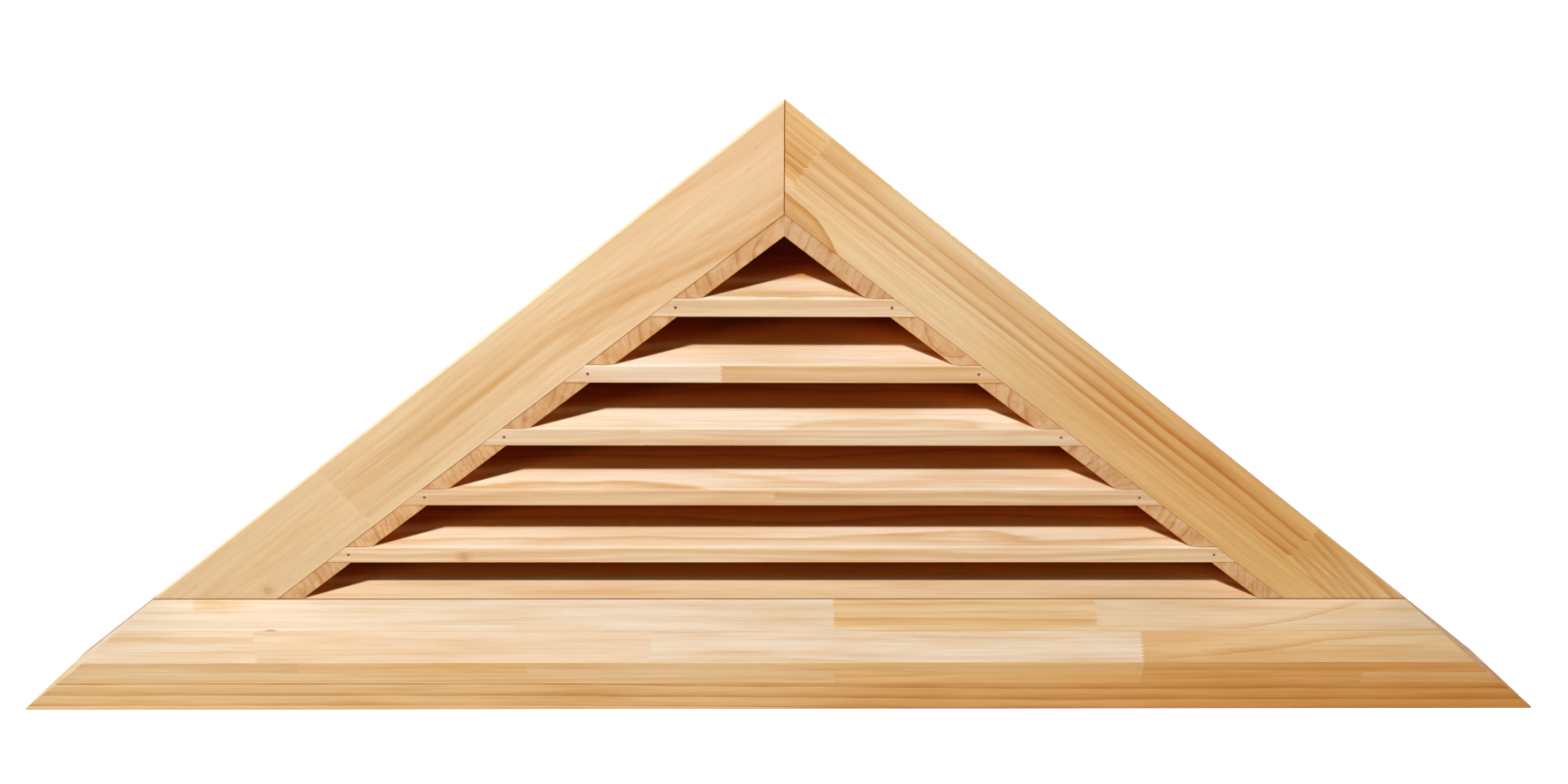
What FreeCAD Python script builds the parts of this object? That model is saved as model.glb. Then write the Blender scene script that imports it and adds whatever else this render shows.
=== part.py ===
import FreeCAD, Part
import math
import os
import Sketcher

# Triangular gable vent of pine: a raked face frame on a sloping sill, with fixed louvre slats held apart by
# spacer blocks, and a shallow box behind the frame that goes into the wall opening and carries a wire screen.
# Millimetres and degrees. +X is to the right, +Y goes into the wall and +Z is up. The origin lies on the
# wall plane, in the middle of the lower edge of the wall opening.

SIZES = {
    # Face frame
    "base_width": 1720,        # across the sill's tips
    "rake_angle": 37.5,        # roof slope that the frame follows
    "rake_width": 89,
    "rake_thickness": 19,
    "edge_round": 1.5,         # easing of the outer arrises
    # Sill
    "sill_projection": 90,     # in front of the face boards
    "sill_slope": 15,
    "sill_nose": 64,           # height of the front face
    "sill_rebate": 20,         # depth of the step that takes the feet of the face boards
    "sill_tip_round": 1.5,
    "drip_width": 6,
    "drip_depth": 5,
    "drip_inset": 14,
    # Box in the wall opening
    "jamb_thickness": 19,
    "jamb_depth": 54,          # behind the wall plane
    "jamb_rabbet": 6,          # how far the box is let into the face frame
    "rail_thickness": 19,
    # Slats and spacer blocks
    "slat_thickness": 15,
    "slat_slope": 40,
    "slat_pitch": 75,
    "first_slat_rise": 70,     # from the bottom slat to the first one above it
    "slat_inset": 3,           # from the back of the box
    "slat_round": 2,
    "spacer_width": 18,
    "spacer_recess": 0.6,      # behind the fronts of the slats
    # Brads
    "brad_diameter": 1.8,
    "brad_length": 30,
    "brad_head_diameter": 3.2,
    "brad_head_thickness": 1,
    "brad_set": 0.8,           # head below the slat's front
    # Screen and staples
    "screen_margin": 4,        # inside the outline of the box
    "screen_thickness": 1.2,
    "screen_wire": 2.5,
    "screen_cell": 62,
    "screen_selvedge": 14,
    "staple_crown": 12,
    "staple_leg": 9,
    "staple_wire": 1.1,
    "staple_pitch": 140,
}

# Lines and levels worked out from the sizes. An apex is the height at which a pair of raked lines meets.
LAYOUT = {
    "face": "-Sizes.rake_thickness",
    "nose": "face - Sizes.sill_projection",
    "ledge": "Sizes.rail_thickness",
    "sill_line": "ledge + Sizes.sill_rebate",
    "nose_top": "sill_line - Sizes.sill_projection * tan(Sizes.sill_slope)",
    "sill_bottom": "nose_top - Sizes.sill_nose",
    "apex": "sill_bottom + Sizes.base_width / 2 * tan(Sizes.rake_angle)",
    "inner_apex": "apex - Sizes.rake_width / cos(Sizes.rake_angle)",
    "opening_apex": "inner_apex - Sizes.spacer_width / cos(Sizes.rake_angle)",
    "brad_apex": "(inner_apex + opening_apex) / 2",
    "box_apex": "inner_apex + Sizes.jamb_thickness / cos(Sizes.rake_angle)",
    "screen_apex": "box_apex - Sizes.screen_margin / cos(Sizes.rake_angle)",
    "mesh_apex": "screen_apex - Sizes.screen_selvedge / cos(Sizes.rake_angle)",
    "staple_apex": "(screen_apex + mesh_apex) / 2",
    "screen_bottom": "Sizes.screen_margin",
    "box_front": "-Sizes.jamb_rabbet",
    "box_back": "Sizes.jamb_depth",
    "slat_back": "box_back - Sizes.slat_inset",
    "slat_drop": "Sizes.slat_thickness / cos(Sizes.slat_slope)",
    "slat_rise": "(slat_back - face) * tan(Sizes.slat_slope)",
    "spacer_face": "face + Sizes.spacer_recess",
    "brad_top": "face + Sizes.brad_set",
    "brad_seat": "brad_top + Sizes.brad_head_thickness",
    "brad_tip": "brad_top + Sizes.brad_length",
    "spare": "Sizes.rake_width",  # how far a cutter runs past what it cuts
}

SIDES = {"left": "-1", "right": "1"}

doc = FreeCAD.newDocument("GableVent")


def fill_sheet(name, cells):
    """Make a spreadsheet with a name and an aliased value on each row."""
    sheet = doc.addObject("Spreadsheet::Sheet", name)
    for row, (alias, content) in enumerate(cells.items(), start=1):
        sheet.set(f"A{row}", alias)
        sheet.set(f"B{row}", content)
        sheet.setAlias(f"B{row}", alias)
    doc.recompute()
    return sheet


sizes = fill_sheet("Sizes", {alias: str(value) for alias, value in SIZES.items()})
layout = fill_sheet("Layout", {alias: f"={formula}" for alias, formula in LAYOUT.items()})


def raked(apex, level, side="1"):
    """Expression for the X at which a raked line under this apex crosses a level."""
    return f"{side} * (({apex}) - ({level})) / tan(Sizes.rake_angle)"


def new_body(label):
    body = doc.addObject("PartDesign::Body", label)
    body.Label = label
    return body


def new_sketch(body, name, role, offset="0"):
    """Make an empty sketch on one of the body's origin planes, moved along the plane's normal."""
    plane = next(item for item in body.Origin.OriginFeatures if item.Role == role)
    sketch = body.newObject("Sketcher::SketchObject", name)
    sketch.AttachmentSupport = [(plane, "")]
    sketch.MapMode = "FlatFace"
    sketch.setExpression("AttachmentOffset.Base.z", offset)
    return sketch


def bind(sketch, constraint, expression):
    """Add a dimension to a sketch and tie it to an expression."""
    index = sketch.addConstraint(constraint)
    sketch.setExpression(f"Constraints[{index}]", expression)


def add_polygon(sketch, corners):
    """Draw a closed outline whose corners are pairs of expressions."""
    points = []
    for across, up in corners:
        points.append(FreeCAD.Vector(sketch.evalExpression(across), sketch.evalExpression(up), 0))
    first = sketch.GeometryCount
    count = len(points)
    for index in range(count):
        sketch.addGeometry(Part.LineSegment(points[index], points[(index + 1) % count]), False)
    for index in range(count):
        following = first + (index + 1) % count
        sketch.addConstraint(Sketcher.Constraint("Coincident", first + index, 2, following, 1))
    for index, (across, up) in enumerate(corners):
        edge = first + index
        bind(sketch, Sketcher.Constraint("DistanceX", -1, 1, edge, 1, points[index].x), across)
        bind(sketch, Sketcher.Constraint("DistanceY", -1, 1, edge, 1, points[index].y), up)


def add_circle(sketch, across, up, diameter):
    """Draw a circle whose centre and diameter are expressions."""
    centre = FreeCAD.Vector(sketch.evalExpression(across), sketch.evalExpression(up), 0)
    radius = sketch.evalExpression(diameter) / 2
    circle = sketch.addGeometry(Part.Circle(centre, FreeCAD.Vector(0, 0, 1), radius), False)
    bind(sketch, Sketcher.Constraint("DistanceX", -1, 1, circle, 3, centre.x), across)
    bind(sketch, Sketcher.Constraint("DistanceY", -1, 1, circle, 3, centre.y), up)
    bind(sketch, Sketcher.Constraint("Diameter", circle, 2 * radius), diameter)


def front_feature(body, kind, name, front, back, polygons=(), circles=()):
    """Pad or pocket outlines drawn in the front view, from one depth to another."""
    sketch = new_sketch(body, f"{name}_outline", "XZ_Plane", f"-({front})")
    for corners in polygons:
        add_polygon(sketch, corners)
    for across, up, diameter in circles:
        add_circle(sketch, across, up, diameter)
    feature = body.newObject(f"PartDesign::{kind}", name)
    feature.Profile = sketch
    feature.Reversed = kind == "Pad"
    feature.setExpression("Length", f"({back}) - ({front})")
    return feature


def side_feature(body, kind, name, length, polygons):
    """Pad or pocket outlines drawn in the side view, to both sides of the middle."""
    sketch = new_sketch(body, f"{name}_outline", "YZ_Plane")
    for corners in polygons:
        add_polygon(sketch, corners)
    feature = body.newObject(f"PartDesign::{kind}", name)
    feature.Profile = sketch
    feature.SideType = "Symmetric"
    feature.setExpression("Length", length)
    return feature


def raked_band(outer_apex, inner_apex, foot, side):
    """Corners of a board that runs from its foot up to the middle, between two raked lines."""
    return (
        ("0", outer_apex),
        (raked(outer_apex, foot, side), foot),
        (raked(inner_apex, foot, side), foot),
        ("0", inner_apex),
    )


def trim_ends(body, apex, low, high, front, back):
    """Cut both ends of a crosswise board on the raked lines under an apex."""
    far = raked(apex, f"{low} - 2 * Layout.spare")
    below = f"{low} - Layout.spare"
    above = f"{high} + Layout.spare"
    wedges = []
    for side in SIDES.values():
        wedges.append((
            (raked(apex, below, side), below),
            (f"{side} * ({far})", below),
            (f"{side} * ({far})", above),
            (raked(apex, above, side), above),
        ))
    return front_feature(body, "Pocket", "raked_ends", front, back, wedges)


def round_edges(body, radius, chosen):
    """Fillet the edges of the body's last feature whose two ends pass a test."""
    doc.recompute()
    base = body.Tip
    names = []
    for index, edge in enumerate(base.Shape.Edges, start=1):
        if len(edge.Vertexes) == 2 and all(chosen(vertex.Point) for vertex in edge.Vertexes):
            names.append(f"Edge{index}")
    fillet = body.newObject("PartDesign::Fillet", "eased_edges")
    fillet.Base = (base, names)
    fillet.setExpression("Radius", radius)


def near(value, target):
    return abs(value - target) < 1e-4


def height_over_roof(point):
    """Height of a point above the frame's outer raked line."""
    roof = layout.apex - abs(point.x) * math.tan(math.radians(sizes.rake_angle))
    return point.z - roof


def make_rake(name, side):
    """Face board, mitred at the apex, with a rabbet at its inner back edge for the jamb."""
    body = new_body(f"{name}_rake")
    board = raked_band("Layout.apex", "Layout.inner_apex", "Layout.ledge", side)
    front_feature(body, "Pad", "board", "Layout.face", "0", [board])
    seat = raked_band("Layout.box_apex", "Layout.inner_apex", "Layout.ledge", side)
    front_feature(body, "Pocket", "jamb_seat", "Layout.box_front", "0", [seat])
    round_edges(
        body,
        "Sizes.edge_round",
        lambda point: near(point.y, layout.face) and near(height_over_roof(point), 0),
    )
    return body


def make_sill():
    """Glued-up sill with a sloping top, a step for the face boards, a seat for the rail and a drip groove."""
    body = new_body("sill")
    section = (
        ("Layout.nose", "Layout.sill_bottom"),
        ("Layout.nose", "Layout.nose_top"),
        ("Layout.face", "Layout.sill_line"),
        ("Layout.face", "Layout.ledge"),
        ("0", "Layout.ledge"),
        ("0", "Layout.sill_bottom"),
    )
    side_feature(body, "Pad", "board", "Sizes.base_width + 2 * Layout.spare", [section])
    trim_ends(body, "Layout.apex", "Layout.sill_bottom", "Layout.sill_line", "Layout.nose", "0")
    round_edges(
        body,
        "Sizes.sill_tip_round",
        lambda point: near(point.z, layout.sill_bottom) and near(height_over_roof(point), 0),
    )
    round_edges(
        body,
        "Sizes.edge_round",
        lambda point: near(point.y, layout.nose) and near(point.z, layout.nose_top),
    )
    seat = (
        (raked("Layout.box_apex", "0", "-1"), "0"),
        (raked("Layout.box_apex", "0"), "0"),
        (raked("Layout.box_apex", "Layout.ledge"), "Layout.ledge"),
        (raked("Layout.box_apex", "Layout.ledge", "-1"), "Layout.ledge"),
    )
    front_feature(body, "Pocket", "rail_seat", "Layout.box_front", "0", [seat])
    drip_start = "Layout.nose + Sizes.drip_inset"
    drip_end = f"{drip_start} + Sizes.drip_width"
    groove = (
        (drip_start, "Layout.sill_bottom - Layout.spare"),
        (drip_end, "Layout.sill_bottom - Layout.spare"),
        (drip_end, "Layout.sill_bottom + Sizes.drip_depth"),
        (drip_start, "Layout.sill_bottom + Sizes.drip_depth"),
    )
    side_feature(body, "Pocket", "drip_groove", "Sizes.base_width + 2 * Layout.spare", [groove])
    return body


def make_jamb(name, side):
    """Raked side of the box, let into the face board and flush with its inner edge."""
    body = new_body(f"{name}_jamb_board")
    board = raked_band("Layout.box_apex", "Layout.inner_apex", "Layout.ledge", side)
    front_feature(body, "Pad", "board", "Layout.box_front", "Layout.box_back", [board])
    return body


def make_rail():
    """Bottom of the box, level with the sill's step, under the feet of the jambs."""
    body = new_body("bottom_rail_board")
    section = (
        ("Layout.box_front", "0"),
        ("Layout.box_back", "0"),
        ("Layout.box_back", "Layout.ledge"),
        ("Layout.box_front", "Layout.ledge"),
    )
    side_feature(body, "Pad", "board", "Sizes.base_width", [section])
    trim_ends(body, "Layout.box_apex", "0", "Layout.ledge", "Layout.box_front", "Layout.box_back")
    return body


def slat_level(number):
    """Expression for the height of a slat's upper front edge, with the bottom slat as number 0."""
    if number == 0:
        return "Layout.sill_line"
    return f"(Layout.sill_line + Sizes.first_slat_rise + {number - 1} * Sizes.slat_pitch)"


def brad_place(number, side):
    """Expressions for the place of a slat's brad in the front view."""
    height = f"({slat_level(number)} - Layout.slat_drop / 2)"
    return raked("Layout.brad_apex", height, side), height


def make_slat(label, number):
    """Sloping slat with plumb edges and raked ends, and a set hole at each end for its brad."""
    body = new_body(label)
    level = slat_level(number)
    section = (
        ("Layout.face", level),
        ("Layout.slat_back", f"{level} + Layout.slat_rise"),
        ("Layout.slat_back", f"{level} + Layout.slat_rise - Layout.slat_drop"),
        ("Layout.face", f"{level} - Layout.slat_drop"),
    )
    lowest = f"{level} - Layout.slat_drop"
    highest = f"{level} + Layout.slat_rise"
    side_feature(body, "Pad", "board", f"2 * ({raked('Layout.inner_apex', lowest)})", [section])
    trim_ends(body, "Layout.inner_apex", lowest, highest, "Layout.face", "Layout.slat_back")
    front_level = body.evalExpression(level)
    round_edges(
        body,
        "Sizes.slat_round",
        lambda point: near(point.y, layout.face) and near(point.z, front_level),
    )
    if number > 0:
        places = [brad_place(number, side) for side in SIDES.values()]
        heads = [(*place, "Sizes.brad_head_diameter") for place in places]
        shanks = [(*place, "Sizes.brad_diameter") for place in places]
        front_feature(body, "Pocket", "head_holes", "Layout.face", "Layout.brad_seat", circles=heads)
        front_feature(body, "Pocket", "shank_holes", "Layout.face", "Layout.brad_tip", circles=shanks)
    return body


def make_spacer(name, side, number, last):
    """End-grain block on top of a slat, against the face board and jamb, up to the next slat or the apex."""
    body = new_body(f"{name}_spacer_{number + 1}")
    level = slat_level(number)
    if last:
        strip = raked_band("Layout.inner_apex", "Layout.opening_apex", level, side)
    else:
        top = f"{slat_level(number + 1)} - Layout.slat_drop"
        high = f"{top} + Layout.slat_rise"
        strip = (
            (raked("Layout.inner_apex", level, side), level),
            (raked("Layout.inner_apex", high, side), high),
            (raked("Layout.opening_apex", high, side), high),
            (raked("Layout.opening_apex", level, side), level),
        )
    front_feature(body, "Pad", "strip", "Layout.spacer_face", "Layout.slat_back", [strip])
    under = (
        ("Layout.face", level),
        ("Layout.slat_back", f"{level} + Layout.slat_rise"),
        ("Layout.slat_back", f"{level} - Layout.spare"),
        ("Layout.face", f"{level} - Layout.spare"),
    )
    waste = [under]
    if not last:
        waste.append((
            ("Layout.face", top),
            ("Layout.slat_back", f"{top} + Layout.slat_rise"),
            ("Layout.slat_back", f"{high} + Layout.spare"),
            ("Layout.face", f"{high} + Layout.spare"),
        ))
    side_feature(body, "Pocket", "slat_beds", "Sizes.base_width", waste)
    if not last:
        shank = (*brad_place(number + 1, side), "Sizes.brad_diameter")
        front_feature(body, "Pocket", "shank_hole", "Layout.face", "Layout.brad_tip", circles=[shank])
    return body


def pin_along_y(diameter, front, back, place):
    """Round pin that runs into the wall between two depths, at a place in the front view."""
    across, up = place
    pin = doc.addObject("Part::Cylinder", "pin")
    pin.setExpression("Radius", f"{diameter} / 2")
    pin.setExpression("Height", f"({back}) - ({front})")
    pin.Placement.Rotation = FreeCAD.Rotation(FreeCAD.Vector(1, 0, 0), -90)
    pin.setExpression("Placement.Base.x", across)
    pin.setExpression("Placement.Base.y", front)
    pin.setExpression("Placement.Base.z", up)
    return pin


def make_brads(slat_count):
    """Brads through the ends of the slats into the blocks under them."""
    brads = []
    for number in range(1, slat_count + 1):
        for name, side in SIDES.items():
            place = brad_place(number, side)
            brad = doc.addObject("Part::Fuse", f"{name}_brad_{number}")
            brad.Base = pin_along_y("Sizes.brad_head_diameter", "Layout.brad_top", "Layout.brad_seat", place)
            brad.Tool = pin_along_y("Sizes.brad_diameter", "Layout.brad_seat", "Layout.brad_tip", place)
            brads.append(brad)
    group = doc.addObject("Part::Compound", "slat_brads")
    group.Links = brads
    return group


def make_screen():
    """Wire screen over the back of the box: a plain selvedge round an open grid."""
    tangent = math.tan(math.radians(sizes.rake_angle))
    depth = FreeCAD.Vector(0, sizes.screen_thickness, 0)

    def triangle(apex, bottom):
        half = (apex - bottom) / tangent
        corners = [(-half, bottom), (half, bottom), (0, apex), (-half, bottom)]
        outline = [FreeCAD.Vector(across, layout.box_back, up) for across, up in corners]
        return Part.Face(Part.makePolygon(outline)).extrude(depth)

    mesh_bottom = layout.screen_bottom + sizes.screen_selvedge
    sheet = triangle(layout.screen_apex, layout.screen_bottom)
    window = triangle(layout.mesh_apex, mesh_bottom)
    gap = sizes.screen_cell - sizes.screen_wire
    columns = math.ceil((layout.mesh_apex - mesh_bottom) / tangent / sizes.screen_cell)
    rows = math.ceil((layout.mesh_apex - mesh_bottom) / sizes.screen_cell)
    gaps = []
    for column in range(-columns, columns):
        for row in range(rows):
            corner = FreeCAD.Vector(
                column * sizes.screen_cell + sizes.screen_wire / 2,
                layout.box_back,
                mesh_bottom + row * sizes.screen_cell,
            )
            gaps.append(Part.makeBox(gap, sizes.screen_thickness, gap, corner))
    screen = doc.addObject("Part::Feature", "insect_screen_mesh")
    screen.Shape = sheet.cut(window.common(Part.makeCompound(gaps)))
    return screen


def make_staples():
    """Staples along the middle of the screen's selvedge, their legs in the box."""
    wire = sizes.staple_wire
    back = layout.box_back + sizes.screen_thickness
    reach = sizes.staple_crown / 2
    crown = Part.makeBox(sizes.staple_crown, wire, wire, FreeCAD.Vector(-reach, back, -wire / 2))
    leg_length = sizes.screen_thickness + sizes.staple_leg
    legs = []
    for end in (-reach, reach - wire):
        legs.append(Part.makeBox(wire, leg_length, wire, FreeCAD.Vector(end, back - leg_length, -wire / 2)))
    staple = crown.fuse(legs).removeSplitter()
    angle = math.radians(sizes.rake_angle)
    low = layout.screen_bottom + sizes.screen_selvedge / 2
    half = (layout.staple_apex - low) / math.tan(angle)
    raked_length = half / math.cos(angle)
    raked_count = int((raked_length - sizes.staple_crown) // sizes.staple_pitch)
    level_count = int(half // sizes.staple_pitch)
    placements = []
    for index in range(1, raked_count + 1):
        along = raked_length - index * sizes.staple_pitch
        across = along * math.cos(angle)
        up = layout.staple_apex - along * math.sin(angle)
        for turn in (1, -1):
            rotation = FreeCAD.Rotation(FreeCAD.Vector(0, 1, 0), turn * sizes.rake_angle)
            placements.append(FreeCAD.Placement(FreeCAD.Vector(turn * across, 0, up), rotation))
    for index in range(-level_count, level_count + 1):
        across = index * sizes.staple_pitch
        placements.append(FreeCAD.Placement(FreeCAD.Vector(across, 0, low), FreeCAD.Rotation()))
    copies = []
    for placement in placements:
        copy = staple.copy()
        copy.Placement = placement
        copies.append(copy)
    staples = doc.addObject("Part::Feature", "screen_staples")
    staples.Shape = Part.makeCompound(copies)
    return staples


def pierced(label, base, staples):
    """The base with the holes that the staples' legs make in it."""
    cut = doc.addObject("Part::Cut", label)
    cut.Base = base
    cut.Tool = staples
    return cut


def build():
    """Make every piece and return the finished ones."""
    top_room = layout.opening_apex - layout.sill_line - sizes.first_slat_rise - layout.slat_drop
    slat_count = int(top_room // sizes.slat_pitch) + 1
    staples = make_staples()
    pieces = [make_sill(), make_slat("bottom_slat", 0), make_brads(slat_count), staples]
    pieces.append(pierced("bottom_rail", make_rail(), staples))
    pieces.append(pierced("insect_screen", make_screen(), staples))
    for number in range(1, slat_count + 1):
        pieces.append(make_slat(f"louvre_slat_{number}", number))
    for name, side in SIDES.items():
        pieces.append(make_rake(name, side))
        pieces.append(pierced(f"{name}_jamb", make_jamb(name, side), staples))
        for number in range(slat_count + 1):
            pieces.append(make_spacer(name, side, number, number == slat_count))
    return pieces


def check(pieces):
    """Stop if any object failed or any piece is empty or not valid."""
    doc.recompute()
    for item in doc.Objects:
        if "Invalid" in item.State or "Error" in item.State:
            raise RuntimeError(f"{item.Label} failed: {item.State}")
    for piece in pieces:
        if piece.Shape.isNull() or not piece.Shape.isValid() or not piece.Shape.Solids:
            raise RuntimeError(f"{piece.Label} has no valid solid")


pieces = build()
check(pieces)
os.makedirs("parts", exist_ok=True)
for piece in pieces:
    piece.Shape.exportStep(f"parts/{piece.Label}.step")
    print(piece.Label, len(piece.Shape.Solids), round(piece.Shape.Volume))
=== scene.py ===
import math

import bmesh
import bpy
from bpy.props import FloatProperty, FloatVectorProperty, PointerProperty
from mathutils import Matrix, Vector


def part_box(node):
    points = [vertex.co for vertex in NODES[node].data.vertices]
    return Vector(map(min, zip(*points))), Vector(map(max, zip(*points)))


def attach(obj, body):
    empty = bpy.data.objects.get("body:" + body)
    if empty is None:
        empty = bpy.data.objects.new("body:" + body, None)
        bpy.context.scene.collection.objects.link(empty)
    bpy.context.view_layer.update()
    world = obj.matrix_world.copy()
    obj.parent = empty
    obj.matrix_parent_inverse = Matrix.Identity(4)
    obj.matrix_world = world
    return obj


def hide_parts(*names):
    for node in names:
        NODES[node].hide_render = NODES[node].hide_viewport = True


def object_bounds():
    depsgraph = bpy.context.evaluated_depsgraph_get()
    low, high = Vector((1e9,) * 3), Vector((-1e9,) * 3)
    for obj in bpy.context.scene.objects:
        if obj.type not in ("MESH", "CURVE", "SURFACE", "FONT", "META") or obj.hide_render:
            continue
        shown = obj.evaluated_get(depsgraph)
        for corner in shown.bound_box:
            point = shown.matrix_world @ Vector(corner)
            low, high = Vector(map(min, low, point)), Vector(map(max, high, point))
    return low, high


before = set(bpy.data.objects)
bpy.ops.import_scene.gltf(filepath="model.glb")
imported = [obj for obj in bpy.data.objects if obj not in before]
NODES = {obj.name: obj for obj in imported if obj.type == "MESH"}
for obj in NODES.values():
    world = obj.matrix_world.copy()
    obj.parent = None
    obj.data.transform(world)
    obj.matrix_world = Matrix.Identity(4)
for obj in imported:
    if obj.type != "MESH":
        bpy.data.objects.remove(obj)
CAD_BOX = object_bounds()

bl_info = {
    "name": "Triangular gable vent",
    "version": (1, 0, 0),
    "blender": (4, 5, 0),
    "location": "3D View > Sidebar > Gable vent",
    "description": "Dresses the louvred gable vent in finger-jointed pine, wire mesh and staples",
    "category": "Object",
}

MM = 0.001
ROOT = "root"
SPACERS_A_SIDE = 6

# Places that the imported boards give, and sizes that they share.
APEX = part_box("right_rake")[1].z
FACE_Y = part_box("right_rake")[0].y
SILL_LOW, SILL_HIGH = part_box("sill")
RAKE_WIDTH = 89 * MM
SPACER_WIDTH = 18 * MM
SLAT_THICKNESS = 15 * MM

# Joints in mm: along the face boards from the apex and in from their outer edge, up the sill's top and
# front from the edge between them, and along louvre_slat_4 from the middle.
LEFT_JOINT, LEFT_JOINT_END = 664, 89
TOP_JOINT, TOP_JOINT_END, TOP_STAVE_END = 60, 67, 57
FOOT_JOINT, FOOT_JOINT_END = 787, 51
SILL_TOP_SEAM = 44.5
SILL_LOW_SEAM, SILL_HIGH_SEAM = -27.4, -14
SLAT_4_JOINT = -66

# How strongly rings show on a slat's front and on its top, and how abruptly they end on its top.
FRONT_RINGS, TOP_RINGS, TOP_RING_EDGE = 0.7, 1.6, 1.15

# The camera as fitted to the photograph (width and focal length in pixels), and the ways of the lamps.
PICTURE_WIDTH, FOCAL_LENGTH = 1774, 1130.3
SENSOR_WIDTH = 36.0
CAMERA_PLACE = Vector((-8.5, -1037.4, 700.7)) * MM
CAMERA_PAN, CAMERA_TILT, CAMERA_ROLL = (math.radians(turn) for turn in (0.51, 21.304, 0.256))
LIT_PLACE = Vector((0, 0, 0.15))
DAYLIGHT = Vector((0.334, 0.427, -0.840)).normalized()
BACKLIGHT = Vector((-0.30, -0.95, -0.06)).normalized()
KEY_DISTANCE, BACK_DISTANCE = 6.5, 4.6


def swatch(name, description, default):
    """A colour that a user may change."""
    return FloatVectorProperty(name=name, description=description, subtype="COLOR", size=3, default=default)


def measure(name, description, default, unit="LENGTH"):
    """A length, or a measure in another of the scene's units, that a user may change."""
    return FloatProperty(name=name, description=description, unit=unit, default=default)


class PineColours(bpy.types.PropertyGroup):
    """Tones of the staves that the boards are glued up from."""

    pale: swatch("Pale stave", "Sapwood with hardly any colour", (0.82, 0.70, 0.55))
    cream: swatch("Cream stave", "Sapwood with a little yellow in it", (0.80, 0.65, 0.44))
    rose: swatch("Rose stave", "Sapwood with a little pink in it", (0.82, 0.67, 0.50))
    blush: swatch("Blush stave", "Sapwood that leans to pink", (0.76, 0.58, 0.39))
    tan: swatch("Tan stave", "Wood of a middling tone", (0.80, 0.60, 0.35))
    honey: swatch("Honey stave", "Yellow-brown wood near the heart", (0.74, 0.52, 0.26))
    wheat: swatch("Wheat stave", "Sapwood a little darker than cream", (0.77, 0.605, 0.41))
    # The heart side colour is painted shade: it darkens the slats' downward faces, which the lamps leave in
    # shade.
    heart: swatch(
        "Heart side", "What the heart side of a slat, laid downwards, multiplies its tone by",
        (0.46, 0.25, 0.10))
    latewood: swatch(
        "Latewood tint", "What the dark side of a growth ring multiplies the stave's tone by",
        (0.80, 0.58, 0.33))


class MetalColours(bpy.types.PropertyGroup):
    """Colours of the small metal parts."""

    zinc: swatch("Galvanised wire", "Zinc coat of the mesh and its binding", (0.58, 0.60, 0.61))
    staple: swatch("Staples", "Bright steel of the staples", (0.66, 0.65, 0.62))
    brad: swatch("Brads", "Rusted steel of the brads in the slat ends", (0.30, 0.12, 0.045))


class VentSizes(bpy.types.PropertyGroup):
    """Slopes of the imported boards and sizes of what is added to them."""

    rake_angle: measure("Rake angle", "Slope of the face boards", math.radians(37.5), "ROTATION")
    sill_slope: measure(
        "Sill slope", "Fall of the sill's top towards its nose", math.radians(15.0), "ROTATION")
    slat_slope: measure("Slat slope", "Fall of the slats towards the front", math.radians(40.0), "ROTATION")
    arris: measure("Eased arris", "Width that sandpaper has taken off the boards' sharp edges", 0.6 * MM)
    mesh_pitch: measure("Mesh pitch", "Distance between the wires of the screen", 6.35 * MM)
    mesh_wire: measure("Mesh wire", "Thickness of the screen's wires", 0.8 * MM)
    binding: measure("Binding width", "Width of the folded strip round the screen", 14 * MM)
    staple_crown: measure("Staple crown", "Length of a staple's bridge", 12 * MM)
    staple_leg: measure("Staple leg", "Depth that a staple goes in", 9 * MM)
    staple_wire: measure("Staple wire", "Thickness of a staple's wire", 1.1 * MM)


class StageSettings(bpy.types.PropertyGroup):
    """Camera and light of the picture."""

    lens: measure(
        "Lens", "Focal length on a 36 mm wide picture", SENSOR_WIDTH * FOCAL_LENGTH / PICTURE_WIDTH,
        "CAMERA")
    key_power: measure("Key lamp", "Power of the lamp at the upper left", 437.0, "POWER")
    key_radius: measure("Key size", "Radius of the lamp's disk", 0.14)
    back_power: measure("Back lamp", "Power of the weak lamp that shows the back of the box", 60.0, "POWER")
    back_radius: measure("Back lamp size", "Radius of the back lamp's disk", 0.4)
    floor_colour: swatch("Floor", "Colour that the floor throws back at the object", (0.96, 0.68, 0.42))
    floor_behind: swatch(
        "Floor behind", "Colour that the floor throws at the back of the object", (0.95, 0.91, 0.85))
    room_colour: swatch("Room colour", "Colour of the even light from the room", (1.0, 0.55, 0.25))
    sky_strength: measure("Room light", "Strength of the even light from the room", 0.02, "NONE")


# Nodes

class Value:
    """An output in a node tree; arithmetic and comparisons with it add Math nodes."""

    def __init__(self, output):
        self.output, self.id_data = output, output.id_data

    def __add__(self, other):
        return calc("ADD", self, other)

    def __sub__(self, other):
        return calc("SUBTRACT", self, other)

    def __rsub__(self, other):
        return calc("SUBTRACT", other, self)

    def __mul__(self, other):
        return calc("MULTIPLY", self, other)

    def __truediv__(self, other):
        return calc("DIVIDE", self, other)

    def __gt__(self, other):
        return calc("GREATER_THAN", self, other)

    def __lt__(self, other):
        return calc("LESS_THAN", self, other)

    def __neg__(self):
        return calc("MULTIPLY", self, -1.0)

    def __abs__(self):
        return calc("ABSOLUTE", self)

    def step(self, low, high, start=0.0, end=1.0):
        """Goes smoothly from start to end while the value goes from low to high."""
        return node_value(
            self.id_data, "ShaderNodeMapRange", {0: self, 1: low, 2: high, 3: start, 4: end},
            interpolation_type="SMOOTHSTEP")


def plug(target, value):
    """Links a Value to an input, or sets the input to a constant."""
    if isinstance(value, Value):
        target.id_data.links.new(value.output, target)
    else:
        target.default_value = value


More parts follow.
